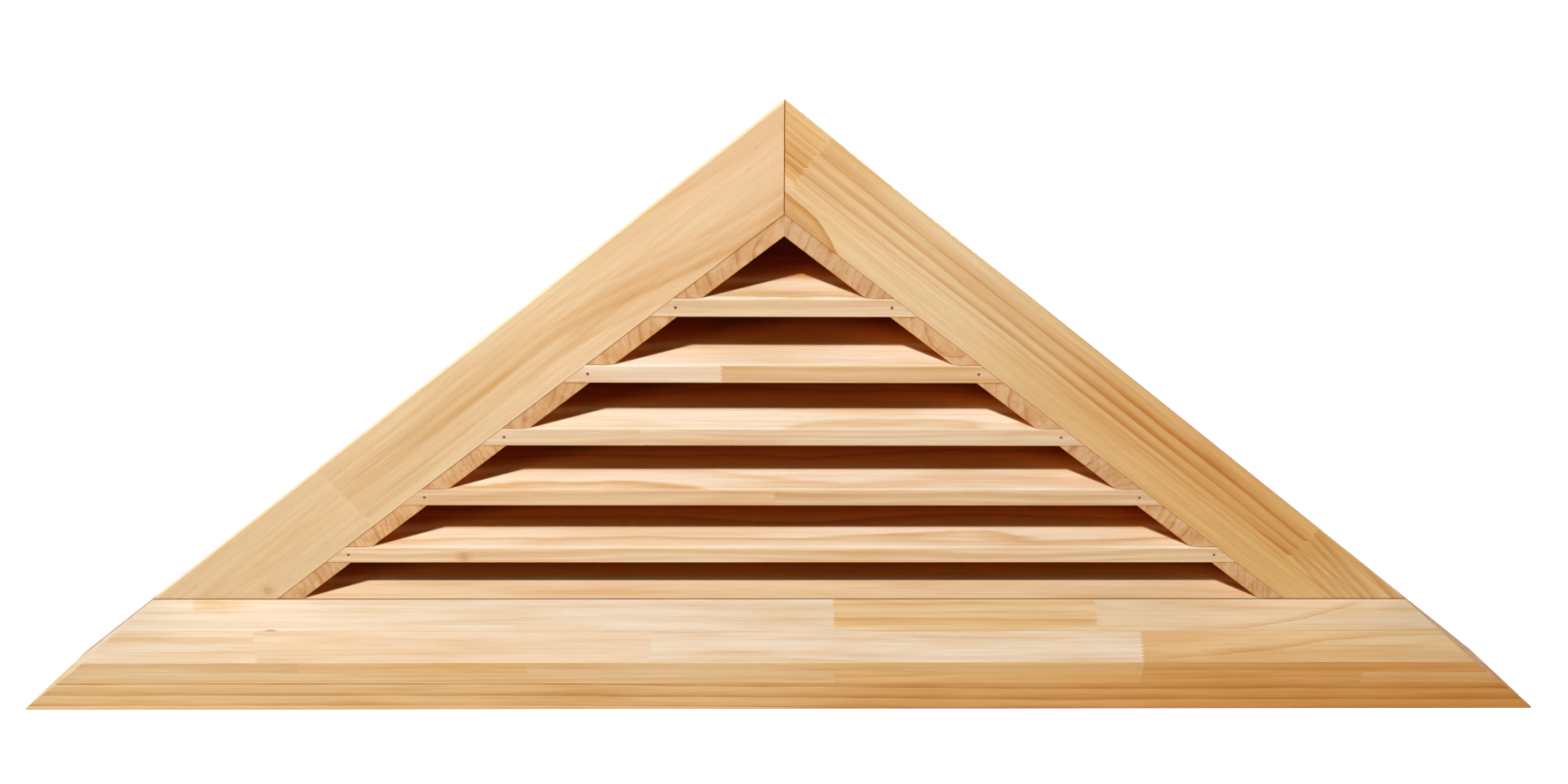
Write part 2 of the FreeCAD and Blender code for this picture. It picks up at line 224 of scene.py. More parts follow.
def add_node(tree, kind, values=None, **fields):
    """Adds a node, sets its fields, and sets or links its inputs from values by name or number."""
    node = tree.nodes.new(kind)
    for field, value in fields.items():
        setattr(node, field, value)
    for key, value in (values or {}).items():
        plug(node.inputs[key], value)
    return node


def node_value(tree, kind, values=None, result=0, **fields):
    """One output of a new node."""
    return Value(add_node(tree, kind, values, **fields).outputs[result])


def tree_of(*terms):
    """Node tree of the first term that is a Value."""
    return next(term.id_data for term in terms if isinstance(term, Value))


def calc(operation, *terms, clamp=False):
    """One Math node's result."""
    return node_value(
        tree_of(*terms), "ShaderNodeMath", dict(enumerate(terms)), operation=operation, use_clamp=clamp)


def vcalc(operation, *terms):
    """One Vector Math node's vector."""
    return node_value(tree_of(*terms), "ShaderNodeVectorMath", dict(enumerate(terms)), operation=operation)


def scaled(vector, scale):
    """A vector or a colour times a number."""
    return node_value(
        vector.id_data, "ShaderNodeVectorMath", {0: vector, "Scale": scale}, operation="SCALE")


def dot(vector, way):
    """Dot product of a vector in the tree and a fixed one."""
    return node_value(
        vector.id_data, "ShaderNodeVectorMath", {0: vector, 1: way}, "Value", operation="DOT_PRODUCT")


def parts(vector, kind="ShaderNodeSeparateXYZ"):
    """The three numbers of a vector or a colour."""
    return [Value(output) for output in add_node(vector.id_data, kind, {0: vector}).outputs]


def combine(values):
    """A vector from numbers given by axis."""
    return node_value(tree_of(*values.values()), "ShaderNodeCombineXYZ", values)


def mix_colour(factor, first, second, blend="MIX"):
    """Second laid over first by factor."""
    return node_value(
        tree_of(factor, first, second), "ShaderNodeMix", {0: factor, 6: first, 7: second}, 2,
        data_type="RGBA", blend_type=blend, clamp_factor=True)


def mix_value(factor, first, second):
    """Number between first and second."""
    return node_value(
        tree_of(factor, first, second), "ShaderNodeMix", {0: factor, 2: first, 3: second},
        data_type="FLOAT", clamp_factor=True)


def noise(vector, detail=2.0, roughness=0.5, scale=1.0, result=0):
    """A 3-D noise texture."""
    return node_value(
        vector.id_data, "ShaderNodeTexNoise",
        {"Vector": vector, "Scale": scale, "Detail": detail, "Roughness": roughness}, result,
        noise_dimensions="3D")


def ramp(value, stops):
    """Colours blended along value; stops are mm and colour."""
    low, high = stops[0][0], stops[-1][0]
    fraction = node_value(value.id_data, "ShaderNodeMapRange", {0: value, 1: low * MM, 2: high * MM})
    node = add_node(value.id_data, "ShaderNodeValToRGB", {0: fraction})
    elements = node.color_ramp.elements
    for number in range(len(stops) - 2):
        elements.new((number + 1) / (len(stops) - 1))
    for stop, (place, colour) in zip(elements, stops):
        stop.position = (place - low) / (high - low)
        stop.color = opaque(colour)
    return Value(node.outputs[0])


def opaque(colour):
    """A colour with its alpha."""
    return (*colour, 1.0)


def new_material(name):
    """An empty material and its node tree."""
    material = bpy.data.materials.new(name)
    material.use_nodes = True
    material.node_tree.nodes.clear()
    return material, material.node_tree


def object_place(tree):
    """Place on the object, in its own axes."""
    return node_value(tree, "ShaderNodeTexCoord", result="Object")


def group_ends(tree, inputs, outputs):
    """Gives a node group its sockets, by name and kind; returns its inputs by name, and its outputs."""
    for way, sockets in (("INPUT", inputs), ("OUTPUT", outputs)):
        for name, kind in sockets.items():
            tree.interface.new_socket(name, in_out=way, socket_type="NodeSocket" + kind)
    given = tree.nodes.new("NodeGroupInput").outputs
    return {name: Value(given[name]) for name in inputs}, tree.nodes.new("NodeGroupOutput").inputs


# Pine

# What a stave's ring spacing and the place of its pith are shares of, in mm, in its figure's colour.
FIGURE_SPACING = 30.0
FIGURE_REACH = 800.0


def pine_grain_group(colours):
    """Node group for the grain of one stave, from board axes in metres with X along the grain."""
    group = bpy.data.node_groups.new("Pine grain", "ShaderNodeTree")
    given, result = group_ends(
        group,
        {"Board axes": "Vector", "Tone": "Color", "Lines": "Float", "Figure": "Color", "Sharpness": "Float",
         "End grain": "Float", "Streaks": "Float"},
        {"Colour": "Color", "Roughness": "Float", "Height": "Float", "Rings": "Float"})
    axes = scaled(given["Board axes"], 1 / MM)
    figure = parts(given["Figure"], "ShaderNodeSeparateColor")
    seed = vcalc("MULTIPLY", given["Figure"], (431.0, 317.0, 523.0))

    def stretched(along, across):
        """Noise coordinates whose features are so many mm long and wide, other for each stave."""
        return vcalc("MULTIPLY_ADD", axes, (1 / along, 1 / across, 1 / across), seed)

    # Growth rings: distance from the pith, which wanders along the board.
    bent = axes
    for features, roughness, reach in (((420, 60), 0.45, 26.0), ((70, 9), 0.5, 2.6)):
        wander = noise(stretched(*features), 2.0, roughness, result="Color")
        wander = vcalc("SUBTRACT", wander, (0.5, 0.5, 0.5))
        bent = vcalc("MULTIPLY_ADD", wander, (0.0, reach, reach), bent)
    place = parts(bent)
    deep, wide = (place[n] - (figure[n] * FIGURE_REACH - FIGURE_REACH / 2) for n in (1, 2))
    count = calc("SQRT", deep * deep + wide * wide) / (figure[0] * FIGURE_SPACING)
    years = node_value(
        group, "ShaderNodeTexNoise", {"W": count, "Scale": 0.6, "Detail": 1.0}, noise_dimensions="1D")
    count = years * 1.3 + count
    part = calc("FRACT", count)
    ring = node_value(group, "ShaderNodeTexWhiteNoise", {"W": calc("FLOOR", count)}, noise_dimensions="1D")
    soft = calc("COSINE", part * math.tau) * -0.5 + 0.5
    thin = calc("MAXIMUM", given["Sharpness"] - 1.0, 0.0)
    steep = calc("POWER", part, thin * 10.0 + 1.9) * part.step(0.88, 1.0, 1.0, 0.0)
    profile = mix_value(given["Sharpness"], soft, steep)
    late = calc("MULTIPLY", profile * (ring * 0.75 + 0.35), given["Lines"] * 1.7, clamp=True)
    plug(result["Rings"], late)

    # Fibre, mottle and resin flecks.
    fibre = noise(stretched(55, 0.9), 3.0, 0.55)
    streak = noise(stretched(190, 3.2))
    mottle = noise(stretched(170, 22))
    fleck = noise(stretched(9, 0.75), 1.0, 0.4).step(0.70, 0.78)

    colour = mix_colour(late, given["Tone"], opaque(colours.latewood), "MULTIPLY")
    colour = mix_colour(
        mottle.step(0.42, 0.74) * given["Streaks"], colour, (0.90, 0.77, 0.58, 1.0), "MULTIPLY")
    colour = mix_colour(
        streak.step(0.45, 0.75) * given["Streaks"], colour, (0.90, 0.79, 0.62, 1.0), "MULTIPLY")
    colour = scaled(colour, fibre.step(0.25, 0.75, 0.94, 1.05))
    colour = mix_colour(fleck * 0.30, colour, (0.40, 0.19, 0.07, 1.0))
    colour = mix_colour(given["End grain"], colour, (0.86, 0.73, 0.58, 1.0), "MULTIPLY")
    plug(result["Colour"], colour)
    plug(result["Roughness"], late * -0.08 + (fibre * 0.16 + 0.46))
    plug(result["Height"], fleck * -0.5 + (late * 0.5 + (fibre * 0.8 + streak * 0.6)))
    return group


class Stave:
    """One length of a glued-up board: where it starts, its tone, and the figure of its rings.

    lines is how strongly the rings show, spacing the mm from ring to ring, pith the mm from the
    board's zero to the heart of the tree (depth, across), sharp how abruptly a ring ends, and lean
    how far the joint at its start moves along for each mm across.
    """

    def __init__(self, start, tone, lines, spacing, pith, sharp, lean=0.0):
        self.start, self.tone, self.lines, self.sharp, self.lean = start, tone, lines, sharp, lean
        self.figure = (spacing / FIGURE_SPACING, pith[0] / FIGURE_REACH + 0.5, pith[1] / FIGURE_REACH + 0.5)

    def values(self, colours):
        """Tone, line strength, figure and sharpness, as the grain takes them."""
        return [opaque(getattr(colours, self.tone)), self.lines, opaque(self.figure), self.sharp]


def fingers(along, across, length, width):
    """Along, shifted to and fro so that a cut across it is a row of fingers."""
    return calc("PINGPONG", across, width * MM / 2) * (2 * length / width) + along


def choose(factor, first, second):
    """The second stave values where factor is 1, else the first."""
    mixers = (mix_colour, mix_value, mix_colour, mix_value)
    return [mix(factor, one, other) for mix, one, other in zip(mixers, first, second)]


def stave_rows(colours, along, across, rows):
    """Stave values of rows stacked across a board; a row is its lower limit in mm, if any, and its staves."""
    values = None
    for limit, staves in rows:
        row = staves[0].values(colours)
        for stave in staves[1:]:
            row = choose(along - across * stave.lean > stave.start * MM, row, stave.values(colours))
        values = choose(across > limit * MM, values, row) if values else row
    return values


class Board:
    """The pine of one packed board in the making: its axes, knots and tints."""

    def __init__(self, name, along, across, origin):
        self.name = name
        self.material, tree = new_material("Pine " + name)
        turn = Matrix((along, across.cross(along), across))
        coordinates = tree.nodes.new("ShaderNodeTexCoord").outputs
        place = Value(coordinates["Object"])
        self.axes = node_value(
            tree, "ShaderNodeMapping",
            {"Vector": place, "Location": -(turn @ origin), "Rotation": turn.to_euler("XYZ")},
            vector_type="POINT")
        self.along, self.depth, self.across = parts(self.axes)
        self.xyz = parts(place)
        self.normal = Value(coordinates["Normal"])
        self.end_grain = abs(dot(self.normal, along)).step(0.55, 0.9)
        self.tints = []

    def facing(self, way, low=0.5, high=0.8):
        """1 on faces that look a given way; low and high are the cosines where it starts and is full."""
        return dot(self.normal, way).step(low, high)

    def tint(self, factor, colour):
        """Multiplies the wood's colour by a tint where factor is 1."""
        self.tints.append((factor, colour if isinstance(colour, Value) else opaque(colour)))

    def joint(self, distance, width, tint=(0.55, 0.38, 0.24)):
        """A fine line where distance from a joint or an edge is under width in mm: dark for a joint, and with
        a tint above 1 a painted highlight along an edge.
        """
        self.tint(distance.step(0.35 * width * MM, width * MM, 1.0, 0.0), tint)

    def streaks(self, along, across):
        """Noise whose features are so many mm long and wide."""
        return noise(vcalc("MULTIPLY", self.axes, (1 / (along * MM), 1 / (across * MM), 1 / (across * MM))))

    def ragged(self, along, across, reach):
        """A shift to and fro within reach in mm, by features so many mm long and wide."""
        return (self.streaks(along, across) - 0.5) * (reach * MM)

    def bands(self, place, stops, where, sway, tint):
        """Growth rings at known places across the board; stops are mm and how dark the ring is there."""
        place = place + self.ragged(420, 60, sway) + self.ragged(60, 4, 2.2)
        dark = ramp(place, [(at, (share,) * 3) for at, share in stops])
        self.tint(dark * self.streaks(150, 12).step(0.3, 0.7, 0.6, 1.0) * where, tint)

    def line(self, across, stops, where):
        """One ring that crosses the board through stops of along and across in mm."""
        high = max(place for _, place in stops)
        course = ramp(self.along, [(at, (place / high,) * 3) for at, place in stops])
        off = course * (-high * MM) + across + self.ragged(60, 6, 3)
        core = abs(off).step(0.4 * MM, 1.5 * MM, 0.75, 0.0)
        halo = off.step(0.0, 9 * MM, 0.5, 0.0) * (off > 0.0)
        first, last = stops[0][0] * MM, stops[-1][0] * MM
        span = self.along.step(first, first + 50 * MM) * self.along.step(last - 30 * MM, last, 1.0, 0.0)
        self.tint(calc("MAXIMUM", core, halo) * span * where, (0.84, 0.68, 0.46))

    def distance(self, spot, size, across):
        """Distance from a spot at along and across in mm, in shares of its length and height."""
        dx, dz = ((value - at * MM) / (reach * MM)
                  for value, at, reach in zip((self.along, across), spot, size))
        return calc("SQRT", dx * dx + dz * dz)

    def knot(self, spot, radius):
        """A pin knot with its darker rim, and grain that bends round it."""
        off = self.distance(spot, (1.25 * radius, radius), self.across)
        push = off.step(0.0, 3.0, 0.9 * radius * MM, 0.0)
        self.axes = vcalc("ADD", self.axes, combine({2: push}))
        self.tint(off.step(0.7, 2.4, 0.35, 0.0), (0.84, 0.64, 0.40))
        rings = calc("SINE", off * 11.0) * 0.35 + 0.65
        self.tint(off.step(0.55, 1.05, 0.5, 0.0) * rings, (0.66, 0.46, 0.28))

    def blot(self, spot, size, tint, across, start=None):
        """A soft stain at along, across in mm, so long and high; start cuts it off before a joint."""
        off = self.distance(spot, size, across) - 0.6
        mask = (self.streaks(0.8 * size[0], 0.5 * size[1]) * 1.2 + off).step(0.1, 1.0, 1.0, 0.0)
        if start is not None:
            edge = self.streaks(8, 3) * (10 * MM) + (across * 0.5 + self.along)
            mask = mask * edge.step(start * MM, (start + 6) * MM)
        self.tint(mask, tint)

    def finish(self, values, rings=None, streaks=0.62):
        """Links the grain, the tints and the shader, and lays them on the board; rings darkens ring lines."""
        tree = self.material.node_tree
        names = ("Board axes", "Tone", "Lines", "Figure", "Sharpness", "End grain", "Streaks")
        grain = add_node(
            tree, "ShaderNodeGroup", dict(zip(names, (self.axes, *values, self.end_grain, streaks))),
            node_tree=pine_grain())
        made = {output.name: Value(output) for output in grain.outputs}
        colour = made["Colour"]
        if rings:
            uneven = self.streaks(60, 15).step(0.42, 0.60, 0.15, 1.0)
            colour = mix_colour(made["Rings"] * uneven, colour, opaque(rings), "MULTIPLY")
        for factor, tint in self.tints:
            colour = mix_colour(factor, colour, tint, "MULTIPLY")
        relief = node_value(
            tree, "ShaderNodeBump", {"Strength": 0.35, "Distance": 0.25 * MM, "Height": made["Height"]})
        shader = node_value(
            tree, "ShaderNodeBsdfPrincipled",
            {"Base Color": colour, "Roughness": made["Roughness"], "Normal": relief,
             "Specular IOR Level": 0.10})
        add_node(tree, "ShaderNodeOutputMaterial", {0: shader})
        finish_node(self.name, self.material)


def finish_node(name, material):
    """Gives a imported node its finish."""
    for slot in NODES[name].material_slots:
        slot.material = material


def ease_edges(name, width):
    """Eases a packed board's sharp edges, which leaves fine lines at its joints."""
    node = NODES[name]
    weld = node.modifiers.new("Merge corners", "WELD")
    weld.merge_threshold = 0.005 * MM
    flat = node.modifiers.new("Whole faces", "DECIMATE")
    flat.decimate_type = "DISSOLVE"
    flat.angle_limit = math.radians(0.5)
    bevel = node.modifiers.new("Eased arris", "BEVEL")
    bevel.width = width
    bevel.segments = 2
    bevel.limit_method = "ANGLE"
    bevel.angle_limit = math.radians(30)
    bevel.use_clamp_overlap = False
    shade = node.modifiers.new("Even shading", "WEIGHTED_NORMAL")
    shade.keep_sharp = False


def settings():
    """The scene's own settings of this part."""
    scene = bpy.context.scene
    return scene.vent_pine, scene.vent_metal, scene.vent_sizes, scene.vent_stage


def pine_grain():
    """The grain group, made once."""
    return bpy.data.node_groups.get("Pine grain") or pine_grain_group(settings()[0])


def rake_axes(angle, side):
    """Ways along and across a raking board; side is -1 on the left and 1 on the right."""
    return (Vector((side * math.cos(angle), 0, -math.sin(angle))),
            Vector((side * math.sin(angle), 0, math.cos(angle))))


def past_spacers(x, z, angle):
    """Distance from the inner edge of the spacers into the opening, seen from the front."""
    inward = abs(x) * -math.sin(angle) - (z * math.cos(angle) - APEX * math.cos(angle))
    return inward - (RAKE_WIDTH + SPACER_WIDTH)


# Operators

class VENT_OT_face_boards(bpy.types.Operator):
    """Finish the two raking face boards"""

    bl_idname = "vent.face_boards"
    bl_label = "Face boards"

    def execute(self, context):
        pine, _, sizes, _ = settings()
        upper = Stave(0, "pale", 0.24, 13.0, (-330, 60), 0.30)
        lower = Stave(LEFT_JOINT, "pale", 0.14, 24.0, (260, -60), 0.2)
        top = Stave(0, "cream", 0.45, 5.0, (60, 330), 0.8)
        patch = Stave(0, "pale", 0.2, 9.0, (60, 200), 0.5)
        middle = Stave(TOP_JOINT, "pale", 0.16, 11.0, (40, 318), 0.6)
        foot = Stave(FOOT_JOINT, "pale", 0.35, 9.0, (70, 130), 0.6)
        # Of each board: its side, rows of staves, tints along it (partly its tone, and on the left board
        # partly a painted light fall-off, darker towards the foot), the painted highlight along its outer
        # edge, joints with the depth that they end at, and strength of its streaks.
        layouts = {
            "left_rake": (
                -1, [(None, [upper, lower])],
                [(0, (1.14, 1.06, 0.94)), (300, (1.16, 1.16, 1.06)), (480, (1.10, 1.13, 1.04)),
                 (660, (1.04, 1.03, 0.90)), (940, (1.00, 0.97, 0.83))],
                (1.10, 1.10, 1.10), [(LEFT_JOINT, LEFT_JOINT_END)], 0.36),
            "right_rake": (
                1, [(None, [middle]), (-TOP_JOINT_END, [patch, middle]), (-TOP_STAVE_END, [top, middle]),
                    (-FOOT_JOINT_END, [top, middle, foot])],
                [(0, (1.14, 1.08, 0.87)), (260, (1.10, 1.10, 0.95)), (450, (1.03, 0.92, 0.64)),
                 (620, (1.02, 0.85, 0.51)), (800, (1.04, 0.89, 0.51)), (940, (1.13, 1.04, 0.79))],
                (1.10, 1.05, 0.98), [(TOP_JOINT, TOP_JOINT_END), (FOOT_JOINT, FOOT_JOINT_END)], 0.50),
        }
        for name, (side, rows, drift, edge, joints, streaks) in layouts.items():
            board = Board(name, *rake_axes(sizes.rake_angle, side), Vector((0, FACE_Y, APEX)))
            inward = -board.across
            fingered = fingers(board.along, board.across, length=4.2, width=4.6)
            if side < 0:
                board.knot((823, -74), radius=5.0)
                self.left_rings(board, inward, fingered)
            else:
                self.right_rings(board, inward, fingered)
            values = stave_rows(pine, fingered, board.across, rows)
            # Tints along the board: partly its tone, and on the left board partly a painted light fall-off,
            # darker towards the foot.
            board.tint(1.0, ramp(board.along, drift))
            board.joint(abs(board.xyz[0]), 1.0)
            board.joint(board.xyz[2] - SILL_HIGH.z, 1.6)
            board.joint(board.across + RAKE_WIDTH, 0.8, (0.80, 0.64, 0.48))
            # Painted highlight along the board's outer edge.
            board.joint(inward, 2.4, edge)
            for start, end in joints:
                glue = abs(fingered - start * MM).step(0.3 * MM, 1.1 * MM, 0.8, 0.0)
                board.tint(glue * (inward < end * MM), (1.10, 1.14, 1.22))
            board.finish(values, streaks=streaks)
            ease_edges(name, sizes.arris)
        return {"FINISHED"}

    def left_rings(self, board, inward, fingered):
        """Broad soft rings down the upper stave, which slope across the board near the apex."""
        slope = board.along.step(20 * MM, 380 * MM, -52 * MM, 0.0)
        fading = board.along.step(430 * MM, 660 * MM, 1.0, 0.62)
        board.bands(
            inward + slope,
            [(-52, 0.1), (-30, 0.3), (-26, 0.08), (-8, 0.12), (0, 0.02), (11, 0.10), (18, 0.42), (21, 0.14),
             (33, 0.66), (37, 0.42), (46, 0.85), (51, 0.30), (58, 0.22), (64, 0.48), (67, 0.12), (75, 0.28),
             (79, 0.08), (89, 0.05)],
            (fingered < LEFT_JOINT * MM) * fading, 16.0, (0.78, 0.55, 0.26))

    def right_rings(self, board, inward, fingered):
        """Rings that darken slowly and end abruptly, slanting ones at the foot, and a tongue of heartwood."""
        after_top = fingered > TOP_JOINT * MM
        outer = inward < FOOT_JOINT_END * MM
        past_foot = (fingered > FOOT_JOINT * MM) * outer
        deeper = board.along.step(150 * MM, 600 * MM, 0.70, 1.0)
        board.bands(
            inward,
            [(0, 0.35), (3, 0.04), (7, 0.10), (13, 0.42), (20, 1.0), (21.2, 0.26), (26, 0.30), (33, 0.95),
             (34, 0.20), (38, 0.22), (45, 0.95), (45.9, 0.15), (49, 0.16), (52, 0.60), (52.8, 0.10),
             (57, 0.36), (58, 0.05), (89, 0.02)],
            (after_top - past_foot) * deeper, 6.0, (0.70, 0.37, 0.09))
        slant = (board.along - FOOT_JOINT * MM) * -0.13 + inward
        board.bands(
            slant,
            [(-20, 0.1), (-9, 0.6), (-7, 0.15), (0, 0.2), (8, 0.75), (10, 0.2), (17, 0.7), (19, 0.15),
             (25, 0.6), (27, 0.15), (34, 0.65), (36, 0.15), (43, 0.6), (45, 0.1), (60, 0.05)],
            past_foot, 3.0, (0.70, 0.44, 0.20))
        board.bands(
            inward,
            [(0, 0.0), (10, 0.05), (17, 0.45), (18, 0.05), (24, 0.75), (25, 0.2), (31, 0.9), (33, 0.4),
             (38, 1.0), (40, 0.25), (46, 0.95), (48, 0.4), (51, 0.6), (60, 0.0)],
            (1.0 - after_top) * outer, 2.0, (0.75, 0.47, 0.18))
        past = calc("MAXIMUM", board.along - 75 * MM, 0.0)
        under = inward + board.ragged(30, 8, 4) - (past * past * 4.6 + 70 * MM)
        tongue = under.step(-0.3 * MM, 0.8 * MM) * under.step(1.2 * MM, 9 * MM, 1.0, 0.55)
        board.tint(tongue, (0.74, 0.52, 0.28))


class VENT_OT_sill(bpy.types.Operator):
    """Finish the glued-up sill"""

    bl_idname = "vent.sill"
    bl_label = "Sill"

    def execute(self, context):
        pine, _, sizes, _ = settings()
        slope = sizes.sill_slope
        nose_top = SILL_HIGH.z - math.tan(slope) * (FACE_Y - SILL_LOW.y)
        board = Board("sill", Vector((1, 0, 0)), Vector((0, 0, 1)), Vector((0, SILL_LOW.y, nose_top)))
        up_slope = board.depth * (1 / math.cos(slope))
        drop = board.depth * math.tan(slope) - board.across
        on_top = drop * math.cos(slope) < board.depth
        on_front = 1.0 - on_top
        top_rows = [
            (None, [Stave(-900, "rose", 0.12, 15.0, (-150, -120), 0.2),
                    Stave(-583, "rose", 0.2, 13.0, (60, -200), 0.3, -0.5),
                    Stave(-148, "pale", 0.30, 9.0, (200, -100), 0.4),
                    Stave(405.5, "tan", 0.8, 14.0, (100, -200), 0.5, 0.22)]),
            (SILL_TOP_SEAM, [Stave(-900, "pale", 0.22, 17.0, (130, 60), 0.3),
                             Stave(61.5, "tan", 0.6, 15.0, (240, 60), 0.4),
                             Stave(357, "wheat", 0.4, 15.0, (120, -140), 0.4, 0.19)])]
        front_rows = [
            (None, [Stave(-900, "cream", 0.15, 7.0, (170, 150), 0.7)]),
            (SILL_LOW_SEAM, [Stave(-900, "cream", 0.4, 8.0, (60, 200), 0.5),
                             Stave(58, "tan", 0.5, 8.0, (100, 220), 0.5),
                             Stave(404, "honey", 0.5, 9.0, (60, 160), 0.5),
                             Stave(653, "cream", 0.4, 10.0, (90, 120), 0.5)]),
            (SILL_HIGH_SEAM, [Stave(-900, "cream", 0.4, 9.0, (120, 90), 0.5),
                              Stave(-540, "tan", 0.35, 7.0, (90, 200), 0.5),
                              Stave(-286, "cream", 0.4, 8.0, (150, 150), 0.5),
                              Stave(404, "honey", 0.5, 9.0, (80, 260), 0.6)])]
        fingered = fingers(board.along, up_slope, length=4.0, width=4.8)
        top = stave_rows(pine, fingered, up_slope, top_rows)
        front = stave_rows(pine, board.along, board.across, front_rows)
        seam = abs(up_slope - SILL_TOP_SEAM * MM).step(0.105 * MM, 0.35 * MM, 1.0, 0.0)
        board.tint(seam * on_top, (0.86, 0.74, 0.58))
        board.tint(on_front, ramp(board.along, [
            (-860, (1.00, 1.05, 1.06)), (-100, (1.00, 1.02, 0.96)), (300, (0.98, 0.92, 0.75)),
            (600, (0.98, 0.88, 0.66)), (860, (0.98, 0.85, 0.64))]))
        block = on_front * (board.across < SILL_LOW_SEAM * MM)
        board.tint(block, ramp(board.along, [
            (-860, (1.05, 1.05, 0.97)), (-100, (1.03, 1.01, 0.94)), (420, (0.96, 0.84, 0.61)),
            (860, (0.93, 0.76, 0.49))]))
        falling = board.along.step(-350 * MM, 350 * MM, 0.0, 6.5 * MM)
        board.bands(
            board.across + falling,
            [(-66, 0.2), (-58.3, 0.1), (-57.5, 0.95), (-56, 0.55), (-50, 0.25), (-44.6, 0.1), (-43.8, 1.0),
             (-42.4, 0.65), (-36, 0.25), (-29.6, 0.12), (-28.8, 1.0), (-27.4, 0.6), (-20, 0.3)],
            block, 2.6, (0.60, 0.36, 0.15))
        from_back = FACE_Y - board.xyz[1]
        board.joint(from_back, 1.1)
        # Painted highlight: a paler line on the sill's top just in front of the face boards.
        board.joint(abs(from_back - 2.4 * MM), 1.4, (1.05, 1.07, 1.10))
        # Painted light: the right end face, which the key lamp leaves in shade, is tinted to an orange glow.
        right_end = board.facing(rake_axes(sizes.rake_angle, 1)[1], 0.95, 0.99)
        board.tint(right_end, (1.10, 0.84, 0.56))
        for stops in (((405, 3), (485, 10), (567, 20), (622, 31), (691, 37.5), (860, 41)),
                      ((433, 45), (534, 48.5), (605, 62), (652, 76), (699, 90))):
            board.line(up_slope, stops, on_top)
        board.blot((-668, 84), (50, 16), (0.91, 0.80, 0.62), up_slope, -650)
        board.blot((-540, 20), (110, 15), (0.97, 0.92, 0.83), up_slope)
        board.blot((-588, 46), (11, 2.2), (0.62, 0.42, 0.26), up_slope)
        board.finish(choose(on_top, front, top))
        ease_edges("sill", sizes.arris)
        return {"FINISHED"}


